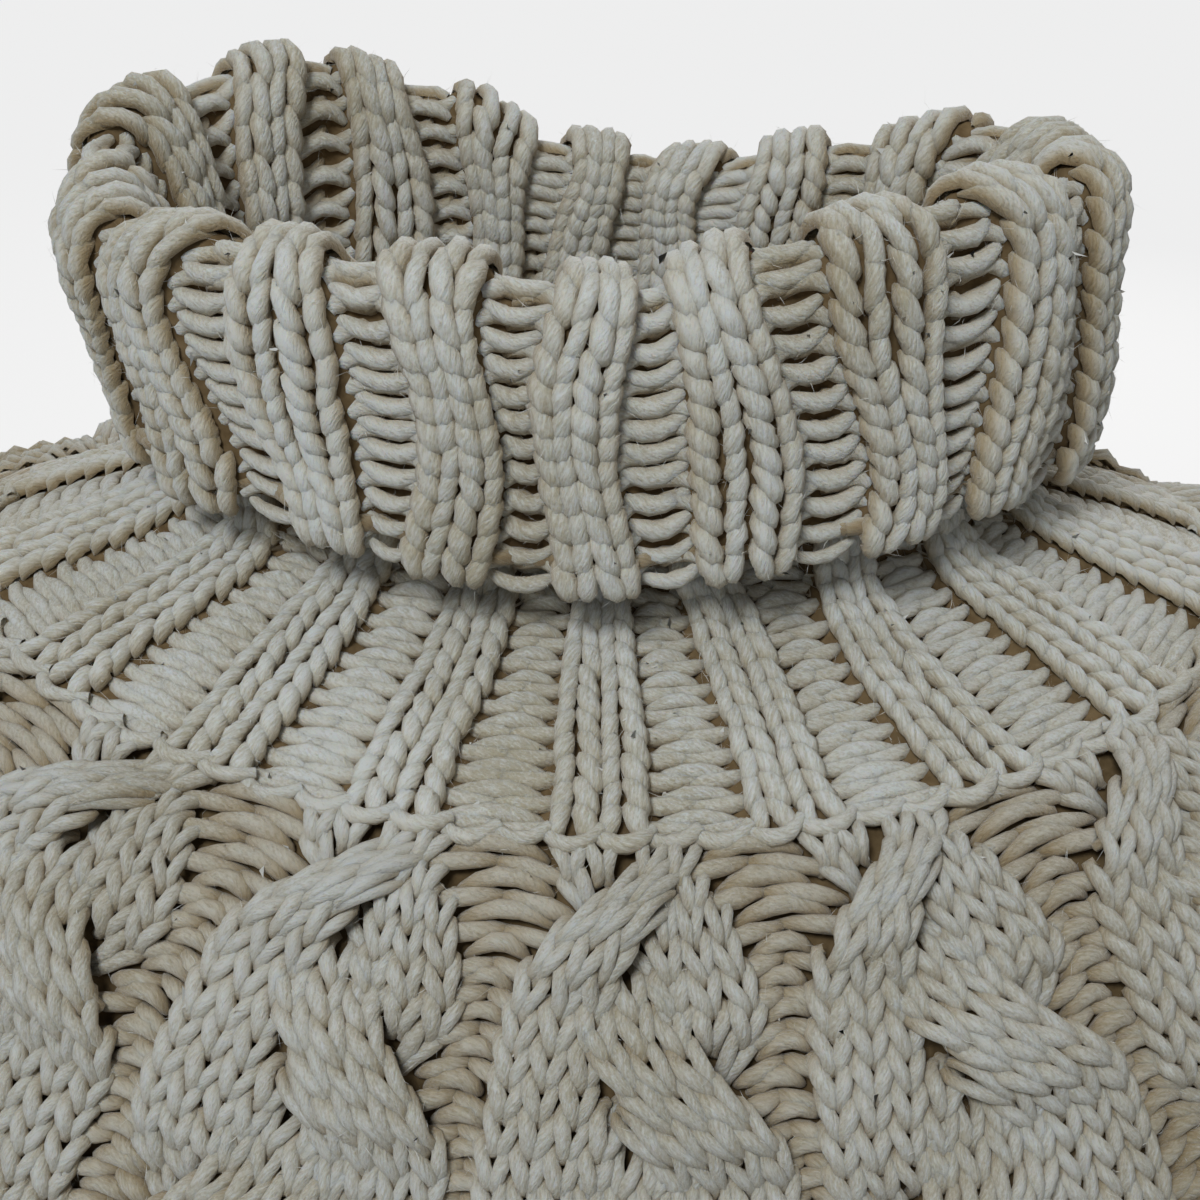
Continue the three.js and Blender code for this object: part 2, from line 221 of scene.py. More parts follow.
ribbed = Cloth(YOKE_COLLAR, 20, 1440, collar_folds, True)
cabled = Cloth(BODY, 20, 1440, body_folds, False)

# ---------------------------------------------------------------- meshes

TWIST_PER_MM = 0.4  # radians that the fibres turn round the yarn in a millimetre
LONG_YARN = 900  # the yarn's pattern starts anywhere within this length
LUMPS = 0.05  # the spread of the yarn's thickness
DEEP_MM = 4.0  # from the top of the cloth down to where its yarn is in full shade
GUTTER_SHADE = 0.06  # of the ribs' height counts as depth in a gutter, which adds painted shade there
LEAF_WIDTH = 1.2  # a leaf's half width, in radii of its yarn
LEAF_RIM_DEEP = 0.16  # how much deeper its rim counts than its ridge, so its rim gets more painted shade

pieces = {}


def add_mesh(name, points, faces, node, material, attributes=()):
    """A piece in place of a CAD node, from points in millimetres and faces of one size."""
    mesh = bpy.data.meshes.new(name)
    mesh.vertices.add(len(points))
    mesh.vertices.foreach_set("co", (points * MM).astype(np.float32).ravel())
    mesh.loops.add(faces.size)
    mesh.loops.foreach_set("vertex_index", faces.astype(np.int32).ravel())
    mesh.polygons.add(len(faces))
    size = faces.shape[1]
    mesh.polygons.foreach_set("loop_start", np.arange(0, faces.size, size, dtype=np.int32))
    mesh.polygons.foreach_set("use_smooth", np.ones(len(faces), bool))
    for key, values in attributes:
        if values.ndim == 2:
            layer = mesh.attributes.new(key, "FLOAT_VECTOR", "POINT")
            layer.data.foreach_set("vector", values.astype(np.float32).ravel())
        else:
            layer = mesh.attributes.new(key, "FLOAT", "POINT")
            layer.data.foreach_set("value", values.astype(np.float32).ravel())
    mesh.update(calc_edges=True)
    mesh.materials.append(material)
    piece = bpy.data.objects.new(name, mesh)
    bpy.context.scene.collection.objects.link(piece)
    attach(piece, "root")
    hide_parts(node)
    pieces[name] = piece


def strands(paths, normals, radius, below, sides, arc=360.0, seed=0):
    """Yarn along paths of points: its points, its quads, each point's place on the yarn, and its painted
    shade, from 0 to 1, which grows with how far down in the cloth it lies. below is how far the path
    lies under the cloth's top. An arc under 360 degrees leaves the back of the yarn open, where the cloth
    hides it."""
    count, n = paths.shape[:2]
    ahead = np.gradient(paths, axis=1)
    side = np.cross(ahead, normals)
    side /= np.linalg.norm(side, axis=2, keepdims=True)
    up = np.cross(side, ahead)
    up /= np.linalg.norm(up, axis=2, keepdims=True)
    whole = arc >= 360
    around = math.radians(arc) * (np.arange(sides) / (sides if whole else sides - 1) - 0.5)
    if whole:
        around = around + math.pi / sides
    radius = np.broadcast_to(radius, (count, n))[:, :, None, None]
    ring = np.cos(around)[:, None] * up[:, :, None] - np.sin(around)[:, None] * side[:, :, None]
    rng = np.random.RandomState(SEED + seed)
    lumps = 1 + rng.normal(0, LUMPS, (count, n, 1, 1)) + rng.normal(0, LUMPS, (count, n, sides, 1))
    points = paths[:, :, None] + radius * ring * lumps
    # painted shade: the farther a point lies under the cloth's top, the darker and browner its colour is
    # painted
    height = (radius * ring * normals[:, :, None]).sum(-1)
    under = np.broadcast_to(below, (count, n))[:, :, None] - height
    deep = np.clip(under / DEEP_MM, 0, 1)
    step = np.linalg.norm(np.diff(paths, axis=1, prepend=paths[:, :1]), axis=2)
    along = step.cumsum(1)
    start = rng.rand(count, 1) * LONG_YARN
    spin = around + (along * TWIST_PER_MM + start)[:, :, None]
    place = np.broadcast_to((along + start)[:, :, None], spin.shape)
    yarn = np.stack([np.cos(spin), np.sin(spin), place], -1)
    index = np.arange(count * n * sides).reshape(count, n, sides)
    first, after = index[:, :-1], index[:, 1:]
    if whole:
        quads = np.stack([first, np.roll(first, -1, 2), np.roll(after, -1, 2), after], -1)
    else:
        quads = np.stack([first[..., :-1], first[..., 1:], after[..., 1:], after[..., :-1]], -1)
    return points.reshape(-1, 3), quads.reshape(-1, 4), yarn.reshape(-1, 3), deep.reshape(-1)


def leaves(paths, normals, radius, below, seed=0):
    """Short bits of yarn far from view, each a small leaf: paths hold its two ends and its middle."""
    start, middle, end = (paths[:, k] for k in range(3))
    up, half = normals[:, 1], radius[:, 1:2]
    side = np.cross(up, end - start)
    side = side / np.linalg.norm(side, axis=1, keepdims=True) * half * LEAF_WIDTH
    points = np.stack([middle + side, end, middle + up * half, start, middle - side], 1)
    first = np.arange(len(points))[:, None, None] * 5
    quads = first + np.array([[0, 3, 2, 1], [2, 3, 4, 1]])[None]
    rng = np.random.RandomState(SEED + seed)
    yarn = np.stack([rng.rand(len(points), 5) * most for most in (1, 1, LONG_YARN)], -1)
    # painted shade for a leaf: from how far its ridge lies under the cloth's top, more on its rim
    top = np.clip((below[:, 1] - radius[:, 1]) / DEEP_MM, 0, 1)
    deep = np.clip(top[:, None] + LEAF_RIM_DEEP * np.array([1, 1, 0, 1, 1]), 0, 1)
    return points.reshape(-1, 3), quads.reshape(-1, 4), yarn.reshape(-1, 3), deep.reshape(-1)


def joined(parts):
    """Several sets of yarn as one."""
    points, quads, yarn, deep = zip(*parts)
    starts = np.cumsum([0] + [len(each) for each in points])
    quads = [each + start for each, start in zip(quads, starts)]
    return tuple(np.concatenate(each) for each in (points, quads, yarn, deep))


def add_yarn(name, strand_set, node, material):
    points, quads, yarn, deep = strand_set
    add_mesh(name, points, quads, node, material, [("yarn", yarn), ("deep", deep)])


# ---------------------------------------------------------------- wool

FIBRE_MM = 0.6  # how high the fibres stand in the yarn's bump

# the yarn's colour from the top of the cloth down between its loops: a pale, cool painted highlight on
# top, then painted shade, browner and darker, where the loops shade each other
RIB_SHADES = [(0.88, 0.885, 0.855), (0.80, 0.765, 0.67), (0.56, 0.45, 0.29), (0.28, 0.18, 0.075)]
# the body's yarn is the same wool as the ribs', painted a little darker all through as painted shade
CABLE_SHADES = [(0.82, 0.815, 0.775), (0.73, 0.69, 0.595), (0.54, 0.43, 0.275), (0.28, 0.18, 0.075)]
SHADE_DEPTHS = (0, 0.2, 0.55, 1)


def new_material(name, **inputs):
    """A material, its node tree and its shader, with the shader's plain values set."""
    material = bpy.data.materials.new(name)
    material.use_nodes = True
    tree = material.node_tree
    shader = tree.nodes["Principled BSDF"]
    for key, value in inputs.items():
        shader.inputs[key.replace("_", " ")].default_value = value
    return material, tree, shader


def node_at(tree, kind, values=(), **options):
    """A node with its options and the plain values of some of its inputs set."""
    node = tree.nodes.new(kind)
    for key, value in options.items():
        setattr(node, key, value)
    for key, value in dict(values).items():
        node.inputs[key].default_value = value
    return node


def colour_ramp(tree, stops):
    ramp = node_at(tree, "ShaderNodeValToRGB")
    elements = ramp.color_ramp.elements
    for element, (position, colour) in zip(elements, (stops[0], stops[-1])):
        element.position = position
        element.color = (*colour, 1)
    for position, colour in stops[1:-1]:
        elements.new(position).color = (*colour, 1)
    return ramp


def add_bump(tree, shader, source, strength):
    bump = node_at(tree, "ShaderNodeBump", {"Strength": strength, "Distance": FIBRE_MM * MM})
    tree.links.new(source, bump.inputs["Height"])
    tree.links.new(bump.outputs["Normal"], shader.inputs["Normal"])


def wool(name, shades):
    """Soft wool yarn: fibres that run round and along it, uneven in tone, with a painted highlight on top
    and painted shade between the loops, set by how far down in the cloth each point lies.
    """
    material, tree, shader = new_material(
        name,
        Roughness=0.92,
        Specular_IOR_Level=0.22,
        Sheen_Weight=0.6,
        Sheen_Roughness=0.5,
        Sheen_Tint=(1, 0.98, 0.94, 1),
        Subsurface_Weight=0.3,
        Subsurface_Radius=(1.0, 0.75, 0.45),
        Subsurface_Scale=0.0012,
    )
    link = tree.links.new
    yarn = node_at(tree, "ShaderNodeAttribute", attribute_name="yarn")
    fibre_scale = node_at(tree, "ShaderNodeMapping", {"Scale": (3.6, 3.6, 0.5)})
    fibres = node_at(tree, "ShaderNodeTexNoise", {"Scale": 1, "Detail": 4, "Roughness": 0.6})
    link(yarn.outputs["Vector"], fibre_scale.inputs["Vector"])
    link(fibre_scale.outputs["Vector"], fibres.inputs["Vector"])
    place = node_at(tree, "ShaderNodeTexCoord")
    broad = node_at(tree, "ShaderNodeTexNoise", {"Scale": 26, "Detail": 3})
    link(place.outputs["Object"], broad.inputs["Vector"])
    broad_part = node_at(tree, "ShaderNodeMath", {1: 0.45}, operation="MULTIPLY")
    link(broad.outputs["Fac"], broad_part.inputs[0])
    total = node_at(tree, "ShaderNodeMath", {1: 0.55}, operation="MULTIPLY_ADD")
    link(fibres.outputs["Fac"], total.inputs[0])
    link(broad_part.outputs[0], total.inputs[2])
    # painted highlight and painted shade: the tone follows how far down in the cloth the yarn lies
    depth = node_at(tree, "ShaderNodeAttribute", attribute_name="deep")
    tone = colour_ramp(tree, list(zip(SHADE_DEPTHS, shades)))
    link(depth.outputs["Fac"], tone.inputs["Fac"])
    uneven = colour_ramp(tree, [(0.38, (0.68, 0.62, 0.5)), (0.56, (1, 1, 1))])
    link(total.outputs[0], uneven.inputs["Fac"])
    shaded = node_at(tree, "ShaderNodeMix", {"Factor": 1}, data_type="RGBA", blend_type="MULTIPLY")
    link(tone.outputs["Color"], shaded.inputs[6])
    link(uneven.outputs["Color"], shaded.inputs[7])
    link(shaded.outputs[2], shader.inputs["Base Color"])
    add_bump(tree, shader, fibres.outputs["Fac"], 1)
    return material


def backing(name, light, deep):
    """The cloth between the loops: the same cream yarn, coloured dark brown as painted shade, with a
    random mottle.
    """
    material, tree, shader = new_material(name, Roughness=0.96, Specular_IOR_Level=0.1)
    link = tree.links.new
    place = node_at(tree, "ShaderNodeTexCoord")
    mottle = node_at(tree, "ShaderNodeTexNoise", {"Scale": 420, "Detail": 4})
    link(place.outputs["Object"], mottle.inputs["Vector"])
    tone = colour_ramp(tree, [(0.3, deep), (0.7, light)])
    link(mottle.outputs["Fac"], tone.inputs["Fac"])
    link(tone.outputs["Color"], shader.inputs["Base Color"])
    add_bump(tree, shader, mottle.outputs["Fac"], 0.8)
    return material


rib_wool = wool("rib_wool", RIB_SHADES)
cable_wool = wool("cable_wool", CABLE_SHADES)
# painted shade: the shells between the loops are coloured dark brown, as the yarn looks in shade there
rib_painted_shade_backing = backing("rib_painted_shade_backing", (0.24, 0.165, 0.085), (0.14, 0.09, 0.042))
cable_painted_shade_backing = backing("cable_painted_shade_backing", (0.22, 0.15, 0.075), (0.13, 0.085, 0.04))
loose_wool = new_material(
    "loose_wool", Base_Color=(0.84, 0.82, 0.76, 1), Roughness=0.8, Specular_IOR_Level=0.2
)[0]

# ---------------------------------------------------------------- the ribbed piece

WALES = 4 * RIBS
# rows of YOKE_COLLAR, and a course's height there
COURSE_HEIGHTS = [[0, 4.45], [2.8, 4.45], [4, 5.0], [7, 5.0], [8, 5.5], [9, 5.0], [12, 4.5]]
EDGE_COURSES = 1.75  # from course RIB_COURSES - 1 to the collar's edge
COURSE_MIDDLE = 0.8  # of a course, from its start to its stitches' middle
SHELL_HALF = 0.35  # half the thickness of the ribbed piece's shell
SHELL_UNDER = 1.1  # how far it lies under the middle of the yarn


def collar_share(at):
    """0 on the yoke and 1 on the collar, where the ribs close up."""
    return soft_step(NECK_AT - 0.4, NECK_AT + 1.2, at)


def wales_at(at):
    """Where each of a repeat's four wales stands and how wide it is, in repeats: two that stand up
    on the yoke, round 0, and two that stand up on the collar, round 0.5."""
    narrow = mix(mix(0.268, 0.24, soft_step(2.6, 0, at)), 0.2, collar_share(at))
    wide = 0.5 - narrow
    middle = np.stack([narrow / 2, narrow + wide / 2, narrow + 1.5 * wide, 1 - narrow / 2], -1)
    width = np.stack([narrow, wide, wide, narrow], -1)
    return middle, width


def rib_out(repeat, at):
    """How far out of the cloth's middle the yarn stands, at a place across a repeat."""
    share = collar_share(at)
    away = np.abs((repeat + 0.5) % 1 - 0.5)  # from the middle of a yoke rib
    yoke = mix(-0.9, 1.7, soft_step(0.335, 0.2, away))
    crown = np.sqrt(np.maximum(0, 1 - ((0.5 - away) / 0.32) ** 2))
    collar = mix(1.3, -1.1 - 2.6 * crown, soft_step(0.11, 0.23, away))
    return mix(yoke, collar * mix(0.6, 1, soft_step(12.5, 11.7, at)), share)


def rib_turn(place, at):
    """The turn at a place in repeats: the ribs lean, and those of the collar wander a little."""
    wander = 0.09 * np.sin(0.9 * at + 10 * math.pi / RIBS * place)
    wander = wander + 0.06 * np.sin(1.7 * at - 16 * math.pi / RIBS * place + 1)
    wander = wander * (0.25 + 0.75 * collar_share(at))
    return (place + wander) / RIBS + COLLAR_TWIST * soft_step(NECK_AT, FOLD_AT, at)


def rib_top(at):
    """How far the ribs stand out on the face that shows."""
    return mix(1.7, 3.4, collar_share(at))


def from_table(table, value):
    knots = np.asarray(table, float)
    return np.interp(value, knots[:, 0], knots[:, 1])


rib_heights = from_table(COURSE_HEIGHTS, ribbed.at)
rib_course = np.concatenate([[0], (np.diff(ribbed.length) / rib_heights[1:]).cumsum()])
rib_course = rib_course - np.interp(0, ribbed.at, rib_course)
course_end = np.interp(EDGE_AT, ribbed.at, rib_course)
RIB_COURSES = round(course_end - EDGE_COURSES) + 1
rib_course = rib_course * (RIB_COURSES - 1 + EDGE_COURSES) / course_end


def course_at(at):
    return np.interp(at, ribbed.at, rib_course)


def rib_paths(course, place, width, face, shape, flat, rng):
    """Bits of yarn on the ribbed piece, as paths. course is the bits' own, place is each bit's middle
    and width its wale's, and face is 1 on the yoke's face and -1 on the collar's. shape gives the run
    across, in wales, the run along, in courses towards the heads, the rise and the yarn's radius. A
    flat bit keeps to the depth of its middle, and so dips under the rib beside it."""
    across, along, rise, radius = shape
    count = len(place)
    at = np.interp(course - along + rng.normal(0, 0.04, (count, 1)), rib_course, ribbed.at)
    where = place[:, None] + width * across + rng.normal(0, 0.007, (count, 1))
    base = rib_out(place[:, None] if flat else where, at) * face
    out = base + rise + rng.normal(0, 0.1, (count, 1))
    radius = radius * (1 + rng.normal(0, 0.05, (count, 1)))
    # how far under the cloth's top the bit counts, which sets its painted shade; gutters count farther
    below = 1.1 - rise + radius + GUTTER_SHADE * np.maximum(0, rib_top(at) - base)
    paths, normals = ribbed.place(at, rib_turn(where, at), out * face)
    return paths, normals * face, radius, below


def leg_shape(u, leg, radius, plump, outer):
    """A leg of a rib's stitch. It leans out towards its head and dips under the next leg."""
    slant = 0.17 if plump else 0.06
    rise = 1.1 - 0.35 * outer - 2.0 * np.abs(u) ** 2.4
    size = radius * (1.06 if plump else 0.92) * (1 + 0.1 * outer)
    return leg * (0.245 + slant * u), 0.83 * u, rise, size * np.sqrt(1 - 0.96 * np.abs(u) ** 3.5)


def bump_shape(u, side, radius, share, spread):
    """A head or foot in a gutter: a bowed bit of yarn. side is where the rib lies that hides an end
    of a head, or 0 for a foot. On the collar an end climbs under the rib, and else it dips."""
    bent = mix(0.3, 0.42, share) * (1 - u**2) + mix(-0.03, 0.08, share)
    tilt = mix(-0.07, 0.06, share) * u
    hidden = share * (soft_step(0, 0.6, side * u) if side else 0.5)
    climb = mix(mix(1.25, 1.7, share), -1.3, hidden) * u**2
    end = mix(0.42, 0.2 + 0.35 * hidden, share)
    oval = radius * (end + (1 - end) * np.sqrt(1 - 0.97 * u**2))
    if side:
        return mix(0.84 + 0.1 * spread, 0.72, share) * u, bent + tilt, mix(0.9, 0.4, share) - climb, oval
    return mix(0.8 + 0.1 * spread, 1.02, share) * u, tilt - bent, mix(1.3, 1.1, share) - climb, oval


def course_bits(at, face):
    """What shows on a course of the ribbed piece, for one repeat: each bit's middle and width in
    repeats, if it is flat, and its shape as a function of its run from -1 to 1."""
    share, spread = float(collar_share(at)), soft_step(2.4, 0, at)
    ribs = (0, 3) if face > 0 else (1, 2)
    for wale, (middle, width) in enumerate(zip(*wales_at(at))):
        if wale in ribs:
            radius = mix(1.7 + 0.22 * spread, 1.9, share)
            for leg in (-1, 1):
                outer = share * ((leg > 0) == (wale in (0, 2)))
                yield middle, width, False, partial(
                    leg_shape, leg=leg, radius=radius, plump=leg * face > 0, outer=outer
                )
        else:
            radius = mix(1.6 + 0.15 * spread, 1.85, share) * (0.75 if at > EDGE_AT - 0.4 else 1)
            gutter = partial(bump_shape, radius=radius, share=share, spread=spread)
            yield middle, width, True, partial(gutter, side=1 if wale == 0 else -1)
            if (wale - 1) % 4 not in ribs:
                yield middle - width / 2, width, True, partial(gutter, side=0)


def rib_stitches(first, last, face, seen, steps, sides):
    """The yarn that shows on some courses of the ribbed piece: two legs for each stitch of a rib,
    and a head and a foot for each stitch of a gutter. face is 1 for the yoke's face and -1 for the
    collar's, and seen tells which turns are knitted fine."""
    rng = np.random.RandomState(SEED + first)
    fine, coarse = [], []
    for course in np.arange(first, last) + COURSE_MIDDLE:
        at = float(np.interp(course, rib_course, ribbed.at))
        for middle, width, flat, shape in course_bits(at, face):
            place = np.arange(RIBS) + middle
            near = seen((rib_turn(place, at) + 0.5) % 1 - 0.5, at)
            for chosen, found, n, around in ((near, fine, steps, sides), (~near, coarse, 4, 4)):
                if not chosen.any():
                    continue
                u = np.linspace(-1, 1, n)[None, :]
                if flat:
                    u = np.sin(0.5 * math.pi * u)
                path = rib_paths(course, place[chosen], width, face, shape(u), flat, rng)
                found.append(strands(*path, around, 250, seed=rng.randint(MANY_SEEDS)))
    return joined(fine + coarse)


def closed_tube(rings):
    """Rings of points, one after another and back to the first, as points and quads."""
    r, n = rings.shape[:2]
    index = np.arange(r * n).reshape(r, n)
    after = np.roll(index, -1, 0)
    quads = np.stack([index, np.roll(index, -1, 1), np.roll(after, -1, 1), after], -1)
    return rings.reshape(-1, 3), quads.reshape(-1, 4)


def rib_shell():
    """The cloth between the loops: a thin tube that follows the ribs."""
    turn = np.arange(RIBS * 12) / (RIBS * 12)
    at = np.concatenate([np.linspace(0.02, 3, 10), np.linspace(3.25, EDGE_AT, 32)])

    def sheet(at, side):
        grid_at, place = np.meshgrid(at, turn * RIBS, indexing="ij")
        face = mix(1, -1, collar_share(grid_at))
        out = rib_out(place, grid_at) - SHELL_UNDER * face
        return ribbed.place(grid_at, rib_turn(place, grid_at), out + side)[0]

    return closed_tube(np.concatenate([sheet(at, SHELL_HALF), sheet(at[::-1], -SHELL_HALF)]))


def yoke_seen(turn, at):
    return abs(turn) < 0.3


def stand_seen(turn, at):
    return (abs(turn) > 0.2) & (at > 5)


def fall_seen(turn, at):
    return (abs(turn) < 0.3) | (at < 8.9)


# the shell under the loops is in painted shade, dark brown
add_mesh("yoke_collar_cloth", *rib_shell(), "yoke_collar", rib_painted_shade_backing)
stand_course = int(course_at(NECK_AT) + 0.5)
fall_course = int(course_at(FALL_AT))
for name, first, last, face, seen, steps in (
    ("yoke_stitches", 0, stand_course + 3, 1.0, yoke_seen, 8),
    ("stand_stitches", stand_course, fall_course, -1.0, stand_seen, 7),
    ("fall_stitches", fall_course, RIB_COURSES + 1, -1.0, fall_seen, 8),
):
    add_yarn(name, rib_stitches(first, last, face, seen, steps, 6), "yoke_collar", rib_wool)

# ---------------------------------------------------------------- the cabled piece

CROSSING_FIRST = 14.0  # down the body to the first crossing of a cable
CROSSING_STEP = 26.0  # and on to the next
CROSSING_GROWTH = 3.6  # more at each crossing
CROSSING_HALF = 0.48  # half a crossing's length, in crossings
THIRD_STRAND_FROM = 7  # down the body to where a cable's third strand starts
STRAND_REACH = 1.12  # how far to each side a strand's yarn reaches, in its half widths
COLUMNS_WIDE = 2.1  # the width that a strand's columns fill, in its half widths
MOST_COLUMNS = 9  # that a strand can have
FIRST_ROW = 2.6  # down the body to its first course
LAST_ROW = 4.5  # up from the hem to where its last course ends
LEAVES_FROM = 168  # down the body to where all its yarn is leaves
BARE = -1.0  # the height that counts where there is no cable
ROW_HEIGHTS = [[0, 5.3], [170, 5.8], [420, 6.6]]
STITCH_WIDTHS = [[0, 5.0], [45, 6.3], [200, 6.5], [420, 7.0]]
# rows of BODY, and half a cable's width there in spaces between cables
CABLE_SHARES = [
    [0, 0.29], [0.65, 0.32], [1.15, 0.38], [1.5, 0.41], [2.2, 0.435], [3.2, 0.42], [5, 0.4], [9.5, 0.4],
]

front_column = cabled.points[:, round(0.08 * cabled.turns)]
gone = np.concatenate([[0], np.linalg.norm(np.diff(front_column, axis=0), axis=1).cumsum()])
body_down = gone - np.interp(0, cabled.at, gone)
BODY_DOWN = float(np.interp(HEM_AT, cabled.at, body_down))


def body_at(down):
    return np.interp(down, body_down, cabled.at)


def repeat_width(down):
    return cabled.girth_at(body_at(down)) / CABLES


def cable_half(down):
    return from_table(CABLE_SHARES, body_at(down)) * repeat_width(down)


def crossing_phase(down):
    """1 at the first crossing, 2 at the second, and so on."""
    a = CROSSING_GROWTH / 2
    b = CROSSING_STEP - 3 * a
    c = CROSSING_STEP - CROSSING_FIRST - 2 * a
    return (np.sqrt(b * b + 4 * a * (c + np.maximum(down, 0))) - b) / (2 * a)


def strand_phase(strand, down):
    """Where a strand is in its round of six crossings."""
    return (crossing_phase(down) - 0.5 + 2 * strand) % 6 + 0.5


def strand_half(down):
    return 0.42 * cable_half(down)


def strand_middle(strand, down):
    """Where a strand of a cable runs, from the cable's middle. The first crossing is of two strands."""
    phase = strand_phase(strand, down)
    w = CROSSING_HALF
    side = soft_step(3 - w, 3 + w, phase) + soft_step(4 - w, 4 + w, phase)
    side = side - soft_step(1 - w, 1 + w, phase) - soft_step(6 - w, 6 + w, phase)
    start = 0.8 if strand == 0 else 0
    return (side + start * soft_step(16, 0, down)) * 0.62 * cable_half(down)


def strand_level(strand, down):
    """1 where a strand crosses over another and -1 where it passes behind."""
    phase = strand_phase(strand, down)
    crossings = ((1, 1), (4, 1), (3, -1), (6, -1))
    return sum(over * soft_step(0.5, 0.15, abs(phase - crossing)) for crossing, over in crossings)


def strand_out(strand, across, down):
    """How far out of the cloth's middle a strand's yarn stands."""
    level = strand_level(strand, down)
    own = np.clip((across - strand_middle(strand, down)) / (strand_half(down) * STRAND_REACH), -1, 1)
    dome = np.sqrt(1 - own**2)
    left, right = cable_edges(down)
    edge = np.clip(np.minimum(right + 1.5 - across, across - left + 1.5) / 7.0, 0, 1)
    flank = np.sqrt(1 - (1 - edge) ** 2)
    fade = mix(0.6, 1, soft_step(0, 12, down))
    return (0.2 + 2.3 * flank + 1.1 * dome + level * (1.5 + 2.0 * dome)) * fade


def cable_edges(down):
    """Where a cable's outermost strands end, from its middle."""
    half = strand_half(down)
    middles = [strand_middle(k, down) for k in range(3)]
    middles[2] = np.where(down < THIRD_STRAND_FROM, middles[0], middles[2])
    return np.minimum.reduce(middles) - half, np.maximum.reduce(middles) + half


def cable_top(across, down):
    """How far out of the cloth's middle the outermost strand stands, or BARE beside the cable."""
    top = np.full(np.broadcast(across, down).shape, BARE)
    for strand in range(3):
        inside = np.abs(across - strand_middle(strand, down)) < strand_half(down) * STRAND_REACH
        top = np.maximum(top, np.where(inside, strand_out(strand, across, down), BARE))
    return top


def stitch_width(down):
    return from_table(STITCH_WIDTHS, down)


def column_count(down):
    """How many stitches wide a strand is, stepping softly from one number to the next."""
    count = 2 * strand_half(down) / stitch_width(down)
    whole = np.floor(count)
    return whole + soft_step(0.3, 0.75, count - whole)


def row_height(down):
    return from_table(ROW_HEIGHTS, down)


def body_rows():
    """How far down each course of the body lies."""
    rows, down = [], FIRST_ROW
    while down < BODY_DOWN - 5:
        rows.append(down)
        down += float(row_height(down))
    return np.array(rows) * (BODY_DOWN - LAST_ROW) / down


def in_view(cable, down):
    """The front cables near the yoke have the finest yarn."""
    turn = ((cable + CABLE_PHASE) / CABLES + 0.5) % 1 - 0.5
    return (abs(turn) < 0.32) & (down < 64 + 36 * min(1, abs(turn) / 0.12))


def column_middle(strand, column, down):
    """Where a column of a strand's stitches runs. They are counted from the right on strand 1, and
    from the left on the others."""
    count = column_count(down)
    step = COLUMNS_WIDE * strand_half(down) / count
    side = -1 if strand % 2 else 1
    return strand_middle(strand, down) + side * (column - (count - 1) / 2) * step


def knit_columns(rows, rng):
    """Middles of a cable's stitches: across, down, the column's slant, strand and width."""
    found = []
    count = column_count(rows)
    for strand in range(3):
        for column in range(MOST_COLUMNS):
            down = rows[(column + 0.5 <= count) & ((strand < 2) | (rows > THIRD_STRAND_FROM))]
            across = column_middle(strand, column, down)
            wide = COLUMNS_WIDE * strand_half(down) / column_count(down)
            ahead, behind = (column_middle(strand, column, down + step) for step in (1.5, -1.5))
            shown = cable_top(across, down) - strand_out(strand, across, down) < 3.0
            stitches = [across, down, (ahead - behind) / 3, np.full(len(down), strand), wide]
            found.append(np.stack(stitches, 1)[shown])
    stitches = np.concatenate(found)
    stitches[:, 0] += rng.normal(0, 0.22, len(stitches))
    stitches[:, 1] += rng.normal(0, 0.25, len(stitches))
    return stitches


def place_on_body(cable, place_x, place_d, out):
    """Points on the body, from places across from a cable's middle and down from the seam."""
    turn = (cable + CABLE_PHASE + place_x / repeat_width(place_d)) / CABLES
    return cabled.place(body_at(np.clip(place_d, 0.6, BODY_DOWN + 2)), turn, out)


def leg_paths(cable, stitches, leg, steps, rng):
    """A leg of each knit stitch, as paths on the body. leg is -1 for the left one."""
    across, down, slant, strand, width = (stitches[:, k, None] for k in range(5))
    start = 0.1 if leg < 0 else 1.1
    t = np.linspace(start * math.pi, (start + 0.8) * math.pi, steps)[None, :]
    lean = 0.29 if leg < 0 else 0.2
    x = (t / (2 * math.pi) - 0.5 + lean * np.sin(2 * t)) * width
    y = -0.86 * np.cos(t) * row_height(down)
    stretch = 1 + slant**2
    place_x = across + x / stretch - slant * y
    place_d = down - x * slant / stretch - y
    out = np.choose(strand.astype(int), [strand_out(k, place_x, place_d) for k in range(3)])
    wave = -1.25 * np.cos(2 * t)
    out = out + wave + rng.normal(0, 0.12, (len(stitches), 1))
    paths, normals = place_on_body(cable, place_x, place_d, out)
    plump = 1 + rng.normal(0, 0.06, (len(stitches), 1))
    taper = 0.62 + 0.38 * np.sin((t - start * math.pi) / 0.8) ** 0.6
    radius = (0.2 + 0.2 * width) * (1.05 if leg < 0 else 0.96) * plump * taper
    # the last is how far under the top the leg counts, which sets its painted shade
    return paths, normals, radius, 1.25 - wave + radius


